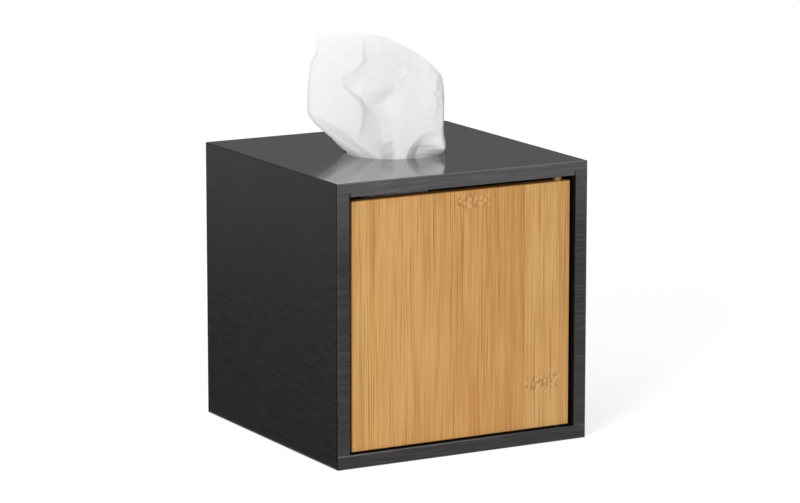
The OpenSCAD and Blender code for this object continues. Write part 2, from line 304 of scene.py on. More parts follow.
def painted_board(name, grain, front_share, front_streaks):
    """Satin black paint over wood with its grain along one axis, with painted highlights along the front's
    edges.

    The case's top is polished and lacquered, and its other faces are not, and the inside has painted shade.
    front_share is how far the front face takes its painted shade and light, and front_streaks how pale the
    saw's streaks are on it."""
    finish = Finish(name)
    place = finish.place()
    x, y, z = finish.axes(place)
    drawn = [GRAIN_DRAWN_OUT if axis == grain else 1.0 for axis in "xyz"]
    along_grain = finish.vector(x * drawn[0], y * drawn[1], z * drawn[2])
    streaks = finish.noise(along_grain, *STREAKS)
    pores = finish.noise(along_grain, *PORES).fade(*PORE_RANGE)
    clouds = finish.noise(place, *CLOUDS)
    ragged = finish.noise(along_grain, *RAGGED)
    from_front = y - case_low.y
    from_top = case_high.z - z
    from_side = case_high.x - abs(x)
    colour = finish.mix(streaks.fade(*STREAK_RANGE), PAINT_DARK, PAINT_MID)
    colour = finish.mix(pores * PORE_SHOW, colour, PAINT_PALE)
    # the front face: painted shade low down and painted light towards the top, with the saw's streaks
    front = from_front.fade(FRONT_BAND, 0.0)
    sawn = finish.noise(finish.vector(x * SAW_DRAWN_OUT, y, z), *SAW_MARKS)
    front_shade_and_light = finish.mix(z.fade(*FRONT_LIT_HEIGHTS), PAINT_SHADE_AND_JOINTS, PAINT_FRONT_LIT)
    colour = finish.mix(front * front_share, colour, front_shade_and_light)
    colour = finish.mix(sawn.fade(*SAW_RANGE) * front * front_streaks, colour, PAINT_STREAKS_AND_HIGHLIGHT)
    # painted highlights along the edges: the top's front edge, the front's upright edges, the floor's edge
    top_highlight = from_top.fade(EDGE_LINE, EDGE_LINE_FULL) * from_front.fade(EDGE_LINE, EDGE_LINE_FULL)
    side_highlight = front * abs(from_side - SIDE_LINE_IN).fade(*SIDE_LINE) * ragged.fade(*SIDE_RANGE)
    floor_highlight = front * abs(z - inside_floor + FLOOR_LINE_DOWN).fade(*FLOOR_LINE)
    least_show, more_show = FLOOR_HIGHLIGHT_SHOW
    floor_highlight = floor_highlight * ragged.fade(*FLOOR_RANGE) * (x.fade(inner_x, -inner_x) * more_show + least_show)
    colour = finish.mix(top_highlight * TOP_HIGHLIGHT_SHOW + floor_highlight, colour, PAINT_STREAKS_AND_HIGHLIGHT)
    colour = finish.mix(side_highlight * SIDE_HIGHLIGHT_SHOW, colour, PAINT_STREAKS_AND_HIGHLIGHT)
    # painted shade inside the case and on the side edges of its front
    start, full = SHADE_INSIDE_AT_SIDES
    inside = abs(x).fade(inner_x + start, inner_x + full)
    inside = inside * z.fade(ceiling + SHADE_INSIDE_AT_CEILING, ceiling)
    inside = inside * z.fade(inside_floor - SHADE_INSIDE_AT_FLOOR, inside_floor)
    corner = from_side.fade(*CORNER_SIDE) * from_front.fade(*CORNER_FRONT)
    # sunk joint lines where the side boards end in the rabbets
    ends = abs(z - seam_up).least(abs(z - seam_low)).fade(JOINT_LINE, 0.0)
    ends = ends * abs(x).fade(inner_x - MM, inner_x)
    shoulder = abs(abs(x) - inner_x + SHOULDER_IN).fade(*SHOULDER_LINE)
    shoulder = shoulder * (abs(z - ceiling) < seam_up - ceiling)
    joints = (ends * ragged.fade(*END_RANGE) * END_JOINT_SHOW).most(shoulder) * front
    colour = finish.mix(inside.most(corner).most(joints), colour, PAINT_SHADE_AND_JOINTS)
    top = from_top.fade(FRONT_BAND, 0.0)
    rough = (top * (TOP_ROUGH - SIDE_ROUGH) + SIDE_ROUGH) * weighed(ROUGH_WEIGHTS, streaks, clouds)
    relief = weighed(RELIEF_WEIGHTS, streaks, pores, clouds) * weighed(RELIEF_SHARES, top, front)
    relief = relief + sawn * front
    lacquer = top * TOP_LACQUER * weighed(LACQUER_WEIGHTS, streaks)
    return finish.surface(bump=relief, bump_mm=PAINT_RELIEF_MM, Base_Color=colour, Roughness=rough,
                          Specular_IOR_Level=0.5, Coat_Weight=lacquer, Coat_Roughness=LACQUER_ROUGH)


# Natural bamboo: flat strips side by side, with long fibres and a node mark on two strips

STRIP_W = 19.5 * MM
STRIP_START = door_low.x - 0.9 * MM
STRIP_TINTS = [srgb(c) for c in ("daa961", "d9a563", "d6a25d", "d49f5a", "ce9854", "daaa68", "d29e5b")]
FIBRE_PALE = srgb("e0b474")
NODE_PALE = srgb("eecb95")
FIBRE_WARM = srgb("bf7f43")
FIBRE_RED = srgb("b86f3d")
FIBRE_DARK = srgb("99602c")

# Each strip's own place in the noise, up and across, and how its fibres sway
STRIP_SHIFT = 3.17
SHIFT_ACROSS = 0.31
FIBRE_SWAY = 0.9 * MM
SWAY_SCALE = 70.0
SWAY_DRAWN_OUT = 0.35
DOOR_RIM = 0.5 * MM
RIM_SHOW = 0.45

# Relief: its depth, its weights for fibres and threads, and that of the node marks
BAMBOO_RELIEF_MM = 0.03
FIBRE_RELIEF = (0.6, 0.4, 0.0)
MARK_RELIEF = 0.6

# Layers over a strip's tint: the noise's scale, its length against its width, its detail and roughness,
# the range in which it shows, how strongly it shows and its colour
FIBRE_LAYERS = {
    "broad": ((190.0, 16.0, 2.0), (0.45, 0.75), 0.5, FIBRE_WARM),
    "patches": ((60.0, 3.0, 2.0), (0.42, 0.72), 0.3, FIBRE_PALE),
    "fibres": ((820.0, 60.0, 3.0, 0.6), (0.5, 0.7), 0.62, FIBRE_WARM),
    "pale_threads": ((1400.0, 80.0, 2.0, 0.6), (0.52, 0.74), 0.6, FIBRE_PALE),
    "reds": ((480.0, 50.0, 2.0), (0.6, 0.74), 0.35, FIBRE_RED),
}
THREADS = (1600.0, 95.0, 2.0, 0.6)
THREAD_RANGE = (0.52, 0.7)
THREAD_SHOW = (0.6, 0.25)

# The heights between which the dark threads grow sharper
SHARPER_THREADS = (0.095, 0.12)

# Each node mark: its strip, its middle's height and its half height
NODE_MARKS = [(3, 124.6 * MM, 4.0 * MM), (5, 30.5 * MM, 4.4 * MM)]
NODE_DASHES = 900.0
DASH_BEND = 1.5 * MM
DASH_BEND_SCALE = 500.0
DASH_DRAWN_OUT = 0.42
BEND_DRAWN_OUT = 0.6
PALE_RANGE = (0.53, 0.6)
DARK_RANGE = (0.48, 0.41)
MARK_SIDES = (0.49, 0.45)
MARK_FULL = 0.6
MARK_RAGGED = 5 * MM
MARK_RAGGED_SCALE = 420.0
MARK_WARM_SHOW = 0.15
MARK_DARK_SHOW = 0.5
MARK_PALE_SHOW = 0.36


def bamboo():
    finish = Finish("bamboo")
    x, y, z = finish.axes(finish.place())
    strips = (x - STRIP_START) / STRIP_W
    strip = strips.floor()
    colour = finish.node("ValToRGB", {"steps": STRIP_TINTS}, (strip + 0.5) / len(STRIP_TINTS))
    shift = strip * STRIP_SHIFT
    sway = finish.noise(finish.vector(x, y, z * SWAY_DRAWN_OUT + shift), SWAY_SCALE, 1.0)
    across = x + shift * SHIFT_ACROSS + sway * FIBRE_SWAY

    def fibre(scale, length, detail, roughness=0.5):
        """Noise drawn out along the fibres, in which length is how many times longer than wide it is."""
        return finish.noise(finish.vector(across, y, z / length + shift), scale, detail, roughness)

    layers = {}
    for layer, (pattern, shown, show, shade) in FIBRE_LAYERS.items():
        layers[layer] = fibre(*pattern)
        colour = finish.mix(layers[layer].fade(*shown) * show, colour, shade)
    threads = fibre(*THREADS)
    least_show, more_show = THREAD_SHOW
    thread_show = z.fade(*SHARPER_THREADS) * more_show + least_show
    colour = finish.mix(threads.fade(*THREAD_RANGE) * thread_show, colour, FIBRE_DARK)
    relief = weighed(FIBRE_RELIEF, layers["fibres"], threads)
    # node marks: crowded upright squiggles, pale beside dark
    bent = finish.noise(finish.vector(x, y, z * BEND_DRAWN_OUT), DASH_BEND_SCALE, 2.0)
    ragged = finish.noise(finish.vector(x, y, 0.0), MARK_RAGGED_SCALE, 1.0)
    squiggles = finish.noise(finish.vector(x + bent * DASH_BEND, y, z * DASH_DRAWN_OUT), NODE_DASHES, 1.0)
    for number, height, half in NODE_MARKS:
        on_strip = abs(strips - (number + 0.5)).fade(*MARK_SIDES)
        mark = abs(z - height + (ragged - 0.5) * MARK_RAGGED).fade(half, half * MARK_FULL) * on_strip
        pale = squiggles.fade(*PALE_RANGE) * mark
        dark = squiggles.fade(*DARK_RANGE) * mark
        colour = finish.mix(mark * MARK_WARM_SHOW, colour, FIBRE_WARM)
        colour = finish.mix(dark * MARK_DARK_SHOW, colour, FIBRE_DARK)
        colour = finish.mix(pale * MARK_PALE_SHOW, colour, NODE_PALE)
        relief = relief + (pale - dark) * MARK_RELIEF
    # a narrow band round the door's rim, a little darker
    rim = (x - door_low.x).least(door_high.x - x).least(door_high.z - z).least(z - door_low.z)
    colour = finish.mix(rim.fade(DOOR_RIM, 0.0) * RIM_SHOW, colour, FIBRE_RED)
    return finish.surface(bump=relief, bump_mm=BAMBOO_RELIEF_MM, Base_Color=colour, Roughness=0.42,
                          Specular_IOR_Level=0.4)


# Bare dowel wood, soft paper and the two small metal parts, with their noise patterns

DOWEL_FIBRES = (1500.0, 3.0, 0.6)
DOWEL_PALE = srgb("d6a875")
DOWEL_DARK = srgb("b98452")
DOWEL_DRAWN_OUT = 0.05
DOWEL_RANGE = (0.3, 0.7)
DOWEL_RELIEF_MM = 0.03
CREPE = (2200.0, 2.0, 0.5)
CREPE_DRAWN_OUT = 0.4
CREPE_MM = 0.008
FLUFF = (500.0, 2.0, 0.5)
FLUFF_RANGE = (0.3, 0.7)
PAPER_DIM = srgb("f6f6f6")
PAPER_BRIGHT = srgb("f9f9f9")
PAPER_THROUGH = (0.3, srgb("f8f8f8"))
BRUSHING = (2400.0, 2.0, 0.5)
BRUSHING_MM = 0.01
BRUSHING_ROUGH = 0.15
METAL_SHADE = srgb("8d9094")


def dowel_wood():
    finish = Finish("dowel_wood")
    x, y, z = finish.axes(finish.place())
    fibres = finish.noise(finish.vector(x, y, z * DOWEL_DRAWN_OUT), *DOWEL_FIBRES)
    colour = finish.mix(fibres.fade(*DOWEL_RANGE), DOWEL_PALE, DOWEL_DARK)
    return finish.surface(bump=fibres, bump_mm=DOWEL_RELIEF_MM, Base_Color=colour, Roughness=0.6)


def tissue_paper():
    """Soft white paper, creped in fine ridges."""
    finish = Finish("tissue_paper")
    place = finish.place()
    x, y, z = finish.axes(place)
    crepe = finish.noise(finish.vector(x * CREPE_DRAWN_OUT, y * CREPE_DRAWN_OUT, z), *CREPE)
    colour = finish.mix(finish.noise(place, *FLUFF).fade(*FLUFF_RANGE), PAPER_DIM, PAPER_BRIGHT)
    return finish.surface(bump=crepe, bump_mm=CREPE_MM, through=PAPER_THROUGH, Base_Color=colour,
                          Roughness=0.95, Specular_IOR_Level=0.1)


def bright_metal(name, code, rough):
    finish = Finish(name)
    brushing = finish.noise(finish.place(), *BRUSHING)
    colour = finish.mix(brushing, srgb(code), METAL_SHADE)
    return finish.surface(bump=brushing, bump_mm=BRUSHING_MM, Base_Color=colour, Metallic=1.0,
                          Roughness=rough + brushing * BRUSHING_ROUGH)


# Each board's grain, how far its front edge takes the front's painted shade and light, and how pale the
# streaks are there
BOARDS = {
    "top_board": ("x", 0.95, 0.2),
    "bottom_board": ("x", 0.72, 0.08),
    "left_side": ("y", 0.72, 0.08),
    "right_side": ("y", 0.62, 0.1),
    "back_panel": ("x", 0.0, 0.0),
    "door_stop_block": ("z", 0.0, 0.0),
}
wood = dowel_wood()
NODE_FINISH = {
    **{node: painted_board("painted_" + node, *finish) for node, finish in BOARDS.items()},
    "door_panel": bamboo(),
    "upper_pivot_dowel": wood,
    "lower_pivot_dowel": wood,
    "catch_magnet": bright_metal("magnet_plating", "c9cccf", 0.22),
    "strike_disc": bright_metal("strike_steel", "a9acb0", 0.3),
}
for node, material in NODE_FINISH.items():
    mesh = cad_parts[node].data
    mesh.materials.clear()
    mesh.materials.append(material)

paper = tissue_paper()


# The pulled tissue: one sheet gathered in the hole. Seen along the photo's line of sight, s runs to
# the right, t towards the viewer and h up from the top board, in millimetres from the hole's middle.

PICTURE = (800, 503)
SENSOR_W = 36.0
FOCAL = VIEW_LENS / SENSOR_W * PICTURE[0]
SIGHT_RISE = math.sin(VIEW_ELEVATION)
SIGHT_LEVEL = math.cos(VIEW_ELEVATION)
SIGHT_RIGHT = np.array([math.cos(VIEW_AZIMUTH), math.sin(VIEW_AZIMUTH), 0.0])
SIGHT_NEAR = np.array([math.sin(VIEW_AZIMUTH), -math.cos(VIEW_AZIMUTH), 0.0])
THROAT_R = 24.0
THROAT_BACK = 12.0
HOLE_CLEAR = 24.3

# The outline as the photo shows it, from the throat up on each side and along the top
LEFT_EDGE = [(-24.0, 0), (-27.8, 4.2), (-31.3, 8.3), (-35.0, 11.4), (-39.4, 15.2), (-42.8, 19.4),
             (-43.3, 23), (-42.9, 33), (-42.0, 41), (-41.0, 45), (-38.6, 50), (-37.4, 58.2)]
RIGHT_EDGE = [(24.0, 0), (24.9, 1.6), (25.3, 4.6), (24.5, 8.2), (24.2, 12), (24.5, 18), (24.7, 25),
              (24.3, 32), (23.6, 36.2), (22.7, 38.6)]
TOP_EDGE = [(-37.4, 58.2), (-24, 59.0), (-14.6, 59.4), (-10.7, 58.8), (-5.7, 57.5), (-2.7, 56.6), (4, 53.1),
            (10.7, 49.2), (17, 45.0), (20.8, 41.3), (22.7, 38.6)]
BACK_TOP_EDGE = [(-37.4, 58.2), (-30, 56.0), (-20, 56.6), (-9, 55.2), (2, 51.0), (9, 46.4), (16, 41.6),
                 (22.7, 38.6)]

# How far the left side leans towards the viewer, by share of its rise, and how this fades to the right
LEFT_LEAN = [(0, 0), (0.07, 4), (0.14, 6.5), (0.22, 6.5), (0.3, 5), (0.4, 2), (0.55, 0), (1, 0)]
LEAN_FADE = 1.5

# How squarely the front turns back at its left and right sides, by share of its rise
LEFT_TURN = [(0, 2), (0.36, 5.4), (1, 5.4)]
RIGHT_TURN = [(0, 3), (0.06, 4.5), (0.12, 12), (0.5, 12), (0.65, 8), (0.8, 6), (1, 5.4)]

# How far the sheet stands in front of and behind the line of its sides, by share of its rise
FRONT_REACH = [(0, 24), (0.1, 21.5), (0.3, 17), (0.5, 13), (0.7, 9), (0.85, 5.5), (1, 1.2)]
BACK_REACH = [(0, 12), (0.1, 14.5), (0.3, 15.5), (0.5, 14), (0.7, 12), (0.85, 9), (1, 5)]

# Creases on the front: each line's points as the photo's pixel and the millimetres that the sheet stands out
FRONT_CREASES = [
    # right edge of the left panel
    [(362.0, 34.5, 0.1), (372, 34.6, 0.0)],
    [(362.6, 37.5, 0.3), (362.6, 47, 0.5), (363.2, 58.5, 0.6), (361.5, 62, 0.9), (353, 71.3, 0.8),
     (345.3, 73.8, 0.5), (340.3, 83, 0.5), (344.3, 87.8, 0.5), (350, 93, 0.8), (356, 98.8, 1.0),
     (360.8, 105, 1.1), (362.3, 114, 1.1), (362.4, 124, 1.1), (360.6, 131, 1.2), (359.8, 139.5, 1.0)],
    # the foot of the step beside it
    [(367, 40, -0.3), (365.4, 47, -0.4), (365.8, 56, -0.6), (368, 61, -1.0)],
    [(361.5, 66.5, -0.3), (355.8, 73.8, -0.4), (348.2, 77.3, -0.4), (344.4, 82.5, -0.4),
     (347.6, 86.6, -0.6)],
    [(352, 84, -1.3)], [(356, 79, -1.4)], [(370, 67, -1.3)],
    # hood over the funnel: its upper line, its crown, its lip and the hollow under the lip
    [(356, 84, -1.8), (361, 78.3, -1.8), (366, 76, -1.8), (374, 76.4, -1.9), (380, 79, -2.0),
     (385, 84.8, -1.8), (388.4, 90.3, -2.2)],
    [(368, 83, -0.8), (376, 84, -1.0)],
    [(350.5, 90.4, -1.1), (356, 90.3, -0.8), (362, 90.2, -0.2), (371, 90.1, -0.2), (379, 90.3, -0.6),
     (385, 90.6, -1.3), (390, 91.6, -2.5)],
    [(354, 93.5, -1.2), (361, 97, -2.0), (368, 97.5, -2.2), (376, 97.5, -2.9), (384, 96.5, -3.6)],
    # funnel and the valley below it
    [(366, 105.5, -3.4), (372, 106, -5.0), (379, 104.5, -6.0)],
    [(363.9, 108, 0.0), (363.9, 124, 0.1), (362.3, 131, 0.2)],
    [(370.5, 112, -3.0), (371, 121, -2.2), (371, 131, -1.8), (370.5, 141, -1.1), (373, 149, -0.7)],
    [(376, 113, -4.4), (376.5, 122, -3.5), (376.5, 133, -3.0), (377, 143, -2.1)],
    [(390.2, 93.4, -3.4), (384.4, 102.6, -5.9), (380.8, 109, -5.6), (381.2, 121, -4.0), (381.8, 132, -4.0),
     (382.5, 140.5, -3.5)],
    [(388, 104, -5.2), (389, 115, -4.6), (390, 125, -4.0), (391, 134, -4.0), (392.8, 141.5, -4.0)],
    # lower right panel: its soft ridge and its middle
    [(393.5, 94, -3.8), (402, 103, -2.8), (411, 113, -1.9), (417, 122, -1.4)],
    [(398, 112, -3.1), (402, 122, -2.6), (403.5, 133, -2.5), (402, 143, -2.8)],
    # strip at its foot, and the dark fold beside it
    [(394.7, 142.5, -3.9), (394.8, 151, -3.7), (395, 160, -3.6)],
    [(394.0, 144, -5.8), (394.0, 150.5, -9.0), (394.0, 160, -12)],
    [(385.5, 142.4, -3.7), (382, 145.5, -3.5), (380.8, 150.5, -2.8), (381, 159, -1.8)],
    [(403.5, 150, -2.6), (402.5, 159, -2.6)],
    # upper right panel, with the light corner at its top
    [(372, 43.5, -0.8), (381, 43, -1.1), (388.5, 38.5, -1.6)], [(376, 37.5, -0.7)],
    [(377, 52, -1.5)], [(385, 52, -2.2)], [(398, 54, -3.1)], [(378, 66, -1.7)], [(390, 64, -2.6)],
    [(404, 62, -3.4)], [(414, 66, -3.4)], [(424, 69, -2.8)], [(432, 72, -1.5)],
    [(393, 82, -2.6)], [(404, 88, -3.1)], [(414, 86, -2.8)], [(424, 86, -2.0)], [(432, 87, -1.0)],
    [(411, 100, -2.5)], [(421, 103, -1.7)], [(430, 104, -0.9)], [(425, 116, -1.2)], [(431, 120, -0.8)],
    [(404.4, 69, -3.1), (399.2, 77, -3.2)],
    [(406.2, 69.8, -2.7), (401, 78, -2.8)],
    [(410, 71.5, -2.9), (405, 80, -3.1)],
    # left panel, with a faint line across it
    [(330, 45, 0.1)], [(325, 80, 0.0)], [(338, 68, 0.3)], [(322, 98, 0.1)], [(347, 50, 0.2)],
    [(336, 56.3, 0.4), (356, 56.3, 0.55)], [(347, 61, 0.2)], [(354, 63.5, 0.3)],
    [(345, 106, 0.9)], [(353, 115, 1.3)], [(343, 119, 1.6)],
    # the part that rolls under at the left: its bright edge and the slope below it
    [(306, 109.5, 0.2), (319.5, 117.3, 0.9), (332, 124, 1.8), (340.6, 129, 2.1), (348.5, 133, 2.0),
     (354.4, 139.6, 1.7), (359.8, 144.7, 1.4), (367.4, 150.7, 0.5), (374.6, 155.6, -0.4),
     (379.3, 159.5, -1.0)],
    [(315, 123, -0.2), (327.5, 129.6, -0.5), (337, 135.4, -0.9), (345.5, 140.8, -0.8), (356, 148.6, -0.4),
     (366.5, 157, -1.0)],
    [(333, 142, -0.9), (343, 148, -0.7), (352, 153.5, 0.1), (360, 158, 0.0)],
    # arch at the right foot, the hollow in it and the crease across it
    [(405.8, 159, -2.6), (407.4, 153, -2.5), (409.2, 148, -2.4), (414.6, 142, -2.1), (419.6, 137, -1.7),
     (424, 133.2, -1.4), (430, 131, -1.0), (436, 131, -0.7), (441, 133.2, -0.4), (444.5, 137, -0.3)],
    [(411, 157, -5.8), (412.8, 150, -4.8), (417.6, 144.8, -4.3), (423.2, 141.0, -3.9), (428.5, 138.4, -3.6),
     (434.5, 137.6, -3.3), (440.5, 139.6, -2.6)],
    [(420, 145.6, -5.3), (430, 145.2, -5.2), (437, 144.8, -4.4), (443.5, 144.4, -2.6)],
    [(418, 148.0, -7.0), (428, 147.4, -6.8), (436, 147.0, -5.8), (443, 146.4, -3.4)],
    [(414.5, 157, -9.8), (425, 156, -9.6), (436, 153.5, -8.0)],
    # crumples down the right side
    [(436, 89, -0.3), (437.5, 94, -1.3), (435.8, 98, -0.4)], [(437.5, 80, 0.0)], [(440.5, 88, -1.6)],
    [(440.8, 95.3, -0.5)], [(438.6, 99.6, -1.7), (441, 101.5, -1.7)], [(437.5, 104, -0.3)],
    [(441, 107.5, -1.7)],
    [(434.8, 113, -0.9), (434.8, 124, -0.8)], [(439.3, 116, -1.3), (439.8, 126, -1.2)],
    [(442, 118, -0.7), (442, 132, -0.5)],
]


NEAR_ZERO = 1e-9
SAME_PLACE = 1e-7


class Facets:
    """Heights over a plane in flat facets between given lines, as in creased paper."""

    def __init__(self, lines):
        points = [point for line in lines for point in line]
        flat = [Vector(p[:2]) for p in points]
        ends = np.cumsum([len(line) for line in lines])
        edges = [(i, i + 1) for i in range(len(points) - 1) if i + 1 not in ends]
        found = delaunay_2d_cdt(flat, edges, [], 0, SAME_PLACE)
        heights = np.array([points[ids[0]][2] for ids in found[3]])
        corners = np.array([v[:] for v in found[0]])
        faces = np.array(found[2])
        self.a, self.b, self.c = (corners[faces[:, i]] for i in range(3))
        self.heights = heights[faces]
        self.span = self._cross(self.b - self.a, self.c - self.a)

    @staticmethod
    def _cross(p, q):
        return p[..., 0] * q[..., 1] - p[..., 1] * q[..., 0]

    def at(self, x, y):
        """The height at each of the given points, and 0 outside the facets."""
        place = np.stack([x.ravel(), y.ravel()], 1)
        height = np.zeros(len(place))
        for a, b, c, tops, span in zip(self.a, self.b, self.c, self.heights, self.span):
            if abs(span) < NEAR_ZERO:
                continue
            second = self._cross(place - a, c - a) / span
            third = self._cross(b - a, place - a) / span
            inside = (second >= -NEAR_ZERO) & (third >= -NEAR_ZERO) & (second + third <= 1 + NEAR_ZERO)
            height[inside] = (tops[0] + second * (tops[1] - tops[0]) + third * (tops[2] - tops[0]))[inside]
        return height.reshape(x.shape)


def along(points, shares):
    """Places along a line of points at shares of its length."""
    points = np.array(points, float)
    steps = np.hypot(*np.diff(points, axis=0).T)
    far = np.concatenate([[0], np.cumsum(steps)])
    return np.stack([np.interp(shares * far[-1], far, points[:, i]) for i in (0, 1)], -1)


def soften(field, times):
    """A grid of values, each averaged with its neighbours, except across its outer rows and columns."""
    for _ in range(times):
        for axis in (0, 1):
            before, after = np.roll(field, 1, axis), np.roll(field, -1, axis)
            mean = (before + 2 * field + after) / 4
            edge = [slice(None)] * 2
            for i in (0, -1):
                edge[axis] = i
                mean[tuple(edge)] = field[tuple(edge)]
            field = mean
    return field


def reach(table, share):
    return np.interp(share, [row[0] for row in table], [row[1] for row in table])


def ease(share):
    """0 up to 0, 1 from 1 on, and a smooth rise between them."""
    share = np.clip(share, 0, 1)
    return share * share * (3 - 2 * share)


# Points round the sheet's outline, in the form of FRONT_CREASES, where its facets end
FOLD_RIM = [(316, 29, 0), (303, 58, 0), (301, 85, 0), (301, 112, 0), (309, 124, -0.5), (318, 134, -1),
            (328, 146, -1.5), (337, 158, -2.5), (358, 168, -4), (372, 170, -4), (388, 170, -10),
            (400, 170, -3), (409, 170, -3), (425, 168, -10), (452, 160, -8), (452, 140, -0.5),
            (451, 118, -1), (451, 98, -1.5), (450, 78, -1), (444, 62, -0.8), (416, 43, -3.4),
            (390, 30, -2.0), (365, 25, 0.2), (340, 27, 0.2)]

# How finely the sheet is drawn: columns round it and rows down it
FRONT_COLUMNS = 190
BACK_COLUMNS = 90
OVERLAP_COLUMNS = 44
PUFF_ROWS = 165
NECK_ROWS = 62

# How the columns are spaced: this share of them as on a circle, the rest evenly
ROUND_SPACING = 0.55

# Front folds: how often each is looked up again where it is seen, and how near the sides they last
FOLD_PASSES = 3
FRONT_KEEP = 12

# Back: its loose folds' random seed, reach and spacing across and up, scatter, depth, how near the sides
# they last and how they fade towards the top, and how far it sinks and draws in behind the front's outline
BACK_SEED = 7
BACK_ACROSS = (-1.2, 1.3)
BACK_UP = (-0.2, 1.3)
BACK_SPACING = (0.3, 0.24)
BACK_SCATTER = (0.12, 0.1)
BACK_FOLD = 2.4
BACK_KEEP = 8
BACK_FADE = 1.6
BACK_LEAST = 0.35
SINK_FROM = 3
BACK_SINK = 0.22
BACK_DRAW = 0.004

# The sheet's two edges: where they meet round the back, and the gap between them where one laps the other
SEAM_SHARE = 0.22
LAYER_GAP = 1.2
LAYER_GAP_BELOW = [(-12, 0.4), (0, 1.0)]

# Heights between which the sheet stays clear of the hole's wall
WALL_CLEARED = (-8, 0.4)

# The neck's pleats, how far they stand out by the drop below the top board, and the drops by which the
# front's folds are gone and the neck is round
PLEATS = 9
PLEAT_SWELL = [(0, 0.15), (5, 0.7), (14, 3.2), (24, 5.0), (52, 5.0), (64, 3.6), (70, 2.0), (71, 1.4)]
FOLDS_GONE = 9
ROUND_FROM = 14

# What makes the pleats uneven round the neck, as waves: their number, size and start
PLEAT_DRIFT = [(2, 0.22, 1.0), (3, 0.13, 2.0)]
SMALL_PLEATS = (2, 0.25, 1.1)
PLEAT_SIZES = (2, 0.25, 0.6)
PLEAT_DROP = 0.6

# The neck's outline from the hole down to the stack: radius and drop
NECK_LINE = [(24, 0), (23.2, 5), (19, 10), (14, 16), (10.8, 24), (10, 36), (10.4, 50), (12.8, 60),
             (18, 66.5), (25, 69.6), (34, 70.4)]


def puff_patch(columns, top_edge, reach_table, side):
    """One face of the sheet above the hole, between its left and right edges. Rows run from the throat up."""
    turn = np.linspace(0, 1, columns + 1)
    across = ROUND_SPACING * -np.cos(math.pi * turn) + (1 - ROUND_SPACING) * (2 * turn - 1)
    share = (across + 1) / 2
    rise = np.linspace(0, 1, PUFF_ROWS + 1)
    top = along(top_edge, share)
    left, right = along(LEFT_EDGE, rise), along(RIGHT_EDGE, rise)
    foot = np.stack([THROAT_R * across, 0 * across], -1)
    u, v = share[None, :, None], rise[:, None, None]
    corners = (1 - u) * (1 - v) * foot[0] + u * (1 - v) * foot[-1] + (1 - u) * v * top[0] + u * v * top[-1]
    flat = (1 - v) * foot[None] + v * top[None] + (1 - u) * left[:, None] + u * right[:, None] - corners
    power = np.where(across[None] > 0, reach(RIGHT_TURN, rise)[:, None], reach(LEFT_TURN, rise)[:, None])
    bulge = (1 - np.abs(across[None]) ** power).clip(0) ** (1 / power)
    lean = reach(LEFT_LEAN, rise)[:, None] * (1 - share[None]) ** LEAN_FADE
    depth = lean + (side * reach(reach_table, rise)[:, None] - lean) * bulge
    return flat[..., 0], depth, flat[..., 1], across


def in_picture(s, t, h):
    """The photo's pixel at which each point of the sheet is seen."""
    z = case_top + h * MM
    depth = VIEW_DISTANCE - t * MM * SIGHT_LEVEL - z * SIGHT_RISE
    across = FOCAL * (s * MM - AIM_ACROSS) / depth
    up = FOCAL * (z * SIGHT_LEVEL - t * MM * SIGHT_RISE - AIM_UP) / depth
    return PICTURE[0] / 2 + across, PICTURE[1] / 2 - up


def front_face():
    """The sheet's front above the hole: s, t and h of its points, and how far its folds stand out."""
    s, t, h, across = puff_patch(FRONT_COLUMNS, TOP_EDGE, FRONT_REACH, 1)
    facets = Facets(FRONT_CREASES + [[point] for point in FOLD_RIM])
    keep = 1 - np.abs(across[None]) ** FRONT_KEEP
    folds = 0
    for _ in range(FOLD_PASSES):
        folds = soften(facets.at(*in_picture(s, t + folds, h)), 1) * keep
    return s, t + folds, h, folds


def back_face():
    """The sheet's back above the hole, in loose folds, sunk behind the front's outline."""
    s, t, h, across = puff_patch(BACK_COLUMNS, BACK_TOP_EDGE, BACK_REACH, -1)
    rng = np.random.default_rng(BACK_SEED)
    columns = np.arange(*BACK_ACROSS, BACK_SPACING[0])
    rows = np.arange(*BACK_UP, BACK_SPACING[1])
    spots = [(x, y, rng.uniform(-1.0, 1.0)) for x in columns for y in rows]
    aside, up = BACK_SCATTER
    spots = [[(x + rng.uniform(-aside, aside), y + rng.uniform(-up, up), z)] for x, y, z in spots]
    rise = np.linspace(0, 1, PUFF_ROWS + 1)[:, None]
    folds = soften(Facets(spots).at(across[None] + 0 * s, rise + 0 * s), 2)
    keep = 1 - np.abs(across[None]) ** BACK_KEEP
    t = t - BACK_FOLD * folds * keep * np.minimum(1, BACK_FADE * (1 - rise) + BACK_LEAST)
    behind = t.clip(max=0) * np.minimum(1, SINK_FROM * rise)
    return s * (1 + BACK_DRAW * behind * across[None] ** 2), t, h + BACK_SINK * behind


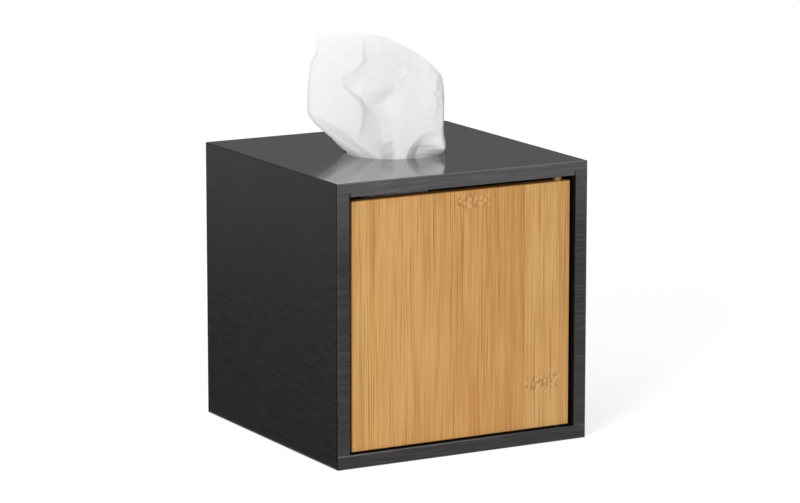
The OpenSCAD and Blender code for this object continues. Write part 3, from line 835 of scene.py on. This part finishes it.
def pleated_neck(foot_s, foot_folds):
    """The gathered part from the hole down to the stack: s, t and h of its points, row by row."""
    count = len(foot_s)
    throat_deep = np.where(np.arange(count) < FRONT_COLUMNS, THROAT_R, THROAT_BACK)
    side = np.where(np.arange(count) < FRONT_COLUMNS, 1, -1)
    # angle of every column round the hole, from the left over the front to the right and back
    angle = np.arctan2(side * np.sqrt((1 - (foot_s / THROAT_R) ** 2).clip(0)), foot_s / THROAT_R)
    bent = angle + sum(size * np.sin(number * angle + start) for number, size, start in PLEAT_DRIFT)
    number, size, start = SMALL_PLEATS
    pleat = np.cos(PLEATS * bent) + size * np.cos(number * PLEATS * bent + start)
    number, size, start = PLEAT_SIZES
    pleat = pleat * (1 + size * np.sin(number * angle + start))
    line = along(NECK_LINE, np.linspace(0, 1, NECK_ROWS + 1)[1:])
    step = np.gradient(line, axis=0)
    step /= np.hypot(step[:, 0], step[:, 1])[:, None]
    normal = np.stack([step[:, 1], step[:, 0]], -1)
    radius, drop = line[:, :1], line[:, 1:]
    rounder = ease(drop / ROUND_FROM)
    deep = throat_deep[None] * (1 - rounder) + THROAT_R * rounder
    bulge = reach(PLEAT_SWELL, drop) * pleat[None]
    fold = foot_folds[None] * np.clip(1 - drop / FOLDS_GONE, 0, 1)
    s = (radius + bulge * normal[:, :1]) * np.cos(angle)[None]
    t = (radius / THROAT_R * deep + bulge * normal[:, :1]) * np.sin(angle)[None] + fold
    return s, t, -drop + np.abs(bulge) * normal[:, 1:] * PLEAT_DROP


def lap_edges(grid):
    """The sheet from one of its edges to the other: both are at the back, the last over the first."""
    near = np.roll(grid, -1, 1) - np.roll(grid, 1, 1)
    outward = np.cross(near, np.gradient(grid, axis=0))
    outward /= np.linalg.norm(outward, axis=-1)[..., None] + NEAR_ZERO
    count = grid.shape[1]
    first = FRONT_COLUMNS + round(SEAM_SHARE * BACK_COLUMNS)
    order = (first + np.arange(count + OVERLAP_COLUMNS + 1)) % count
    place = np.arange(len(order))
    inner = ease(2 - place / OVERLAP_COLUMNS)
    outer = ease(2 - (len(order) - 1 - place) / OVERLAP_COLUMNS)
    slide = LAYER_GAP / 2 * (outer - inner)
    sheet = grid[:, order]
    depth = reach(LAYER_GAP_BELOW, sheet[..., 2])
    return sheet + outward[:, order] * (slide[None] * depth)[..., None]


def tissue_sheet():
    """The grid of points of the whole sheet, in metres: rows from the top edge down to the foot."""
    *front, folds = front_face()
    puff = [np.concatenate([a[:, :-1], b[:, ::-1][:, :-1]], 1) for a, b in zip(front, back_face())]
    foot_folds = np.concatenate([folds[0, :-1], np.zeros(BACK_COLUMNS)])
    neck = pleated_neck(puff[0][0], foot_folds)
    grid = np.stack([np.concatenate([above[::-1], below]) for above, below in zip(puff, neck)], -1)
    sheet = lap_edges(grid)
    low, high = WALL_CLEARED
    in_hole = (sheet[..., 2] < high) & (sheet[..., 2] > low)
    wide = np.hypot(sheet[..., 0], sheet[..., 1])
    sheet[..., :2] *= np.where(in_hole, np.minimum(1, HOLE_CLEAR / np.maximum(wide, 1)), 1)[..., None]
    points = (sheet[..., :1] * SIGHT_RIGHT + sheet[..., 1:2] * SIGHT_NEAR) * MM
    points[..., 2] += case_top + sheet[..., 2] * MM
    return points


def grid_mesh(name, points, finish):
    """A sheet from a grid of points."""
    rows, columns = points.shape[:2]
    index = np.arange(rows * columns).reshape(rows, columns)
    quads = np.stack([index[:-1, :-1], index[1:, :-1], index[1:, 1:], index[:-1, 1:]], -1).reshape(-1, 4)
    mesh = bpy.data.meshes.new(name)
    mesh.from_pydata(points.reshape(-1, 3).tolist(), [], quads.tolist())
    mesh.shade_smooth()
    mesh.materials.append(finish)
    piece = bpy.data.objects.new(name, mesh)
    scene.collection.objects.link(piece)
    return piece


def pull_tissue_up(finish):
    piece = grid_mesh("tissue_sheet", tissue_sheet(), finish)
    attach(piece, "case")
    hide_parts("pulled_tissue")
    return piece


# The stack of folded tissues, seen with the door open: folds to the front and back, one tissue on another

LAYERS = 58
LAYER_FILL = 0.94
LAYER_SHIFT = 0.6 * MM
LAYER_TURN = 0.006
FOLD_ROUND = 0.45
FOLD_STEPS = 3
WIDTH_STEPS = 24
SHIFT_SEED = 3
TURN_SEED = 5
STACK_MARGIN = 1.2 * MM
WAVE_LENGTH = 16.0 * MM
WAVE_OUT = 1.4 * MM
WAVE_UP = 0.175 * MM


class Tree(Finish):
    """A Geometry Nodes tree with named inputs, whose result becomes a plain mesh."""

    def __init__(self, name, **inputs):
        self.tree = bpy.data.node_groups.new(name, "GeometryNodeTree")
        face = self.tree.interface
        face.new_socket("Geometry", in_out="OUTPUT", socket_type="NodeSocketGeometry")
        self.values = {}
        for label, (kind, value) in inputs.items():
            socket = face.new_socket(label, in_out="INPUT", socket_type="NodeSocket" + kind)
            self.values[socket.identifier] = value
        self.given = {label: self.node("NodeGroupInput", out=label) for label in inputs}

    def random(self, low, high, seed):
        """A random vector for each point, between two corners."""
        settings = {"data_type": "FLOAT_VECTOR"}
        return self.node("FunctionNodeRandomValue", settings, low, high, Seed=seed)

    def piece(self, name, result):
        """The tree's result as a plain mesh in the scene."""
        self.node("NodeGroupOutput", None, result)
        piece = bpy.data.objects.new(name, bpy.data.meshes.new(name))
        scene.collection.objects.link(piece)
        modifier = piece.modifiers.new(name, "NODES")
        modifier.node_group = self.tree
        for identifier, value in self.values.items():
            modifier[identifier] = value
        bpy.context.view_layer.update()
        shaped = piece.evaluated_get(bpy.context.evaluated_depsgraph_get())
        mesh = bpy.data.meshes.new_from_object(shaped)
        piece.modifiers.clear()
        piece.data = mesh
        return piece


def fold_stack(finish):
    size = stack_high - stack_low
    middle = (stack_low + stack_high) / 2
    layer = size.z / LAYERS
    tree = Tree(
        "folded_tissues",
        width=("Float", size.x - 2 * STACK_MARGIN),
        depth=("Float", size.y - 2 * STACK_MARGIN),
        layer=("Float", layer),
        layers=("Int", LAYERS),
        start=("Vector", (middle.x, middle.y, stack_low.z + layer / 2)),
        paper=("Material", finish),
    )
    given = tree.given
    half = given["width"] * 0.5
    fold_height = given["layer"] * LAYER_FILL
    fold = tree.node("GeometryNodeCurvePrimitiveQuadrilateral", None, given["depth"], fold_height)
    round_edge = given["layer"] * FOLD_ROUND
    fold = tree.node("GeometryNodeFilletCurve", {"mode": "POLY"}, fold, FOLD_STEPS, round_edge)
    left, right = tree.vector(half * -1, 0.0, 0.0), tree.vector(half, 0.0, 0.0)
    line = tree.node("GeometryNodeCurvePrimitiveLine", None, left, right)
    line = tree.node("GeometryNodeResampleCurve", None, line, Count=WIDTH_STEPS)
    tissue = tree.node("GeometryNodeCurveToMesh", None, line, fold, Fill_Caps=True)
    step = tree.vector(0.0, 0.0, given["layer"])
    places = tree.node("GeometryNodeMeshLine", None, given["layers"], None, given["start"], step)
    shift = tree.random((-LAYER_SHIFT, -LAYER_SHIFT, 0), (LAYER_SHIFT, LAYER_SHIFT, 0), SHIFT_SEED)
    places = tree.node("GeometryNodeSetPosition", None, places, Offset=shift)
    turn = tree.random((0, 0, -LAYER_TURN), (0, 0, LAYER_TURN), TURN_SEED)
    stack = tree.node("GeometryNodeInstanceOnPoints", None, places, Instance=tissue, Rotation=turn)
    stack = tree.node("GeometryNodeRealizeInstances", None, stack)
    place = tree.node("GeometryNodeInputPosition")
    wave = tree.node("TexNoise", None, Vector=place, Scale=1 / WAVE_LENGTH, Detail=2.0) - 0.5
    sway = tree.vector(0.0, wave * WAVE_OUT, wave * WAVE_UP)
    stack = tree.node("GeometryNodeSetPosition", None, stack, Offset=sway)
    stack = tree.node("GeometryNodeSetMaterial", None, stack, Material=given["paper"])
    piece = tree.piece("folded_tissues", stack)
    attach(piece, "case")
    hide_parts("tissue_stack")
    return piece


fold_stack(paper)
pull_tissue_up(paper)


# Stage: pale floor, soft studio lamps and a white background

FLOOR_GLOW = 0.61
WORLD_LIGHT = 0.46
WHITE = (1, 1, 1, 1)
FLOOR_GREY = srgb("e4e4e4")
FLOOR_R = 12.0
RING_STEPS = 96

# The cards' strengths, the wall's radius and height, and the floor cards' rows and places
WALL_STRENGTH = 0.17
WALL_R = 1.6
WALL_H = 1.15
CARD_FRONT = -0.9
CARD_BACK = 0.75
CARD_LIFT = 0.0005
FLOOR_CARDS = {"card_near": (-0.37, -0.0705, 0.08), "card_far": (-0.9, -0.37, 0.36)}

# Each lamp: its place, its size and its power
LAMP_AIM = (0, 0, 0.09)
LAMPS = {
    "key_lamp": ((-1.7, -1.2, 0.75), 0.9, 29),
    "front_lamp": ((0.3, -1.8, 1.0), 1.0, 3),
}


def background_share(finish):
    """1 for rays that show the background itself: camera, mirror and see-through rays."""
    kinds = ("Is Camera Ray", "Is Glossy Ray", "Is Transmission Ray")
    camera, mirror, see_through = [finish.node("LightPath", out=kind) for kind in kinds]
    return camera.most(mirror).most(see_through)


def stage_surface(finish, light):
    """Makes the light the finish's whole surface."""
    finish.node("OutputMaterial", None, light)
    return finish.material


def white_floor():
    """A pale floor that shows as white, apart from the holder's shadow."""
    finish = Finish("floor")
    plain = finish.node("BsdfDiffuse", None, FLOOR_GREY)
    glow = finish.node("Emission", None, WHITE, background_share(finish) * FLOOR_GLOW)
    return stage_surface(finish, finish.node("AddShader", None, plain, glow))


def grey_card(strength):
    finish = Finish("grey_card")
    return stage_surface(finish, finish.node("Emission", None, WHITE, strength))


def stage_piece(name, points, faces, material):
    mesh = bpy.data.meshes.new(name)
    mesh.from_pydata(points, [], faces)
    mesh.materials.append(material)
    piece = bpy.data.objects.new(name, mesh)
    scene.collection.objects.link(piece)
    return piece


def ring_points(radius, height):
    turns = [2 * math.pi * i / RING_STEPS for i in range(RING_STEPS)]
    return [(radius * math.cos(a), radius * math.sin(a), height) for a in turns]


def lay_floor():
    stage_piece("floor", ring_points(FLOOR_R, 0.0), [list(range(RING_STEPS))], white_floor())


def stand_cards():
    """Grey cards that only mirror rays meet: a low wall all round, and two on the floor beside the holder."""
    wall = ring_points(WALL_R, 0.0) + ring_points(WALL_R, WALL_H)
    after = [(i + 1) % RING_STEPS for i in range(RING_STEPS)]
    sides = [(i, j, RING_STEPS + j, RING_STEPS + i) for i, j in enumerate(after)]
    cards = [stage_piece("card_wall", wall, sides, grey_card(WALL_STRENGTH))]
    for name, (left, right, strength) in FLOOR_CARDS.items():
        flat = [(left, CARD_FRONT), (right, CARD_FRONT), (right, CARD_BACK), (left, CARD_BACK)]
        corners = [(x, y, CARD_LIFT) for x, y in flat]
        cards.append(stage_piece(name, corners, [(0, 1, 2, 3)], grey_card(strength)))
    for card in cards:
        card.visible_camera = False
        card.visible_diffuse = False
        card.visible_shadow = False
        card.visible_transmission = False


def hang_lamp(name, place, size, power):
    lamp = bpy.data.objects.new(name, bpy.data.lights.new(name, "AREA"))
    lamp.data.size = size
    lamp.data.energy = power
    scene.collection.objects.link(lamp)
    lamp.location = place
    lamp.rotation_euler = (Vector(LAMP_AIM) - Vector(place)).to_track_quat("-Z", "Y").to_euler()


def white_world():
    world = bpy.data.worlds.new("studio")
    scene.world = world
    world.use_nodes = True
    world.node_tree.nodes.clear()
    finish = Finish.over(world.node_tree)
    strength = background_share(finish) * (1 - WORLD_LIGHT) + WORLD_LIGHT
    finish.node("OutputWorld", None, finish.node("Background", None, WHITE, strength))


scene.view_settings.view_transform = "Standard"
lay_floor()
stand_cards()
white_world()
for lamp_name, lamp in LAMPS.items():
    hang_lamp(lamp_name, *lamp)
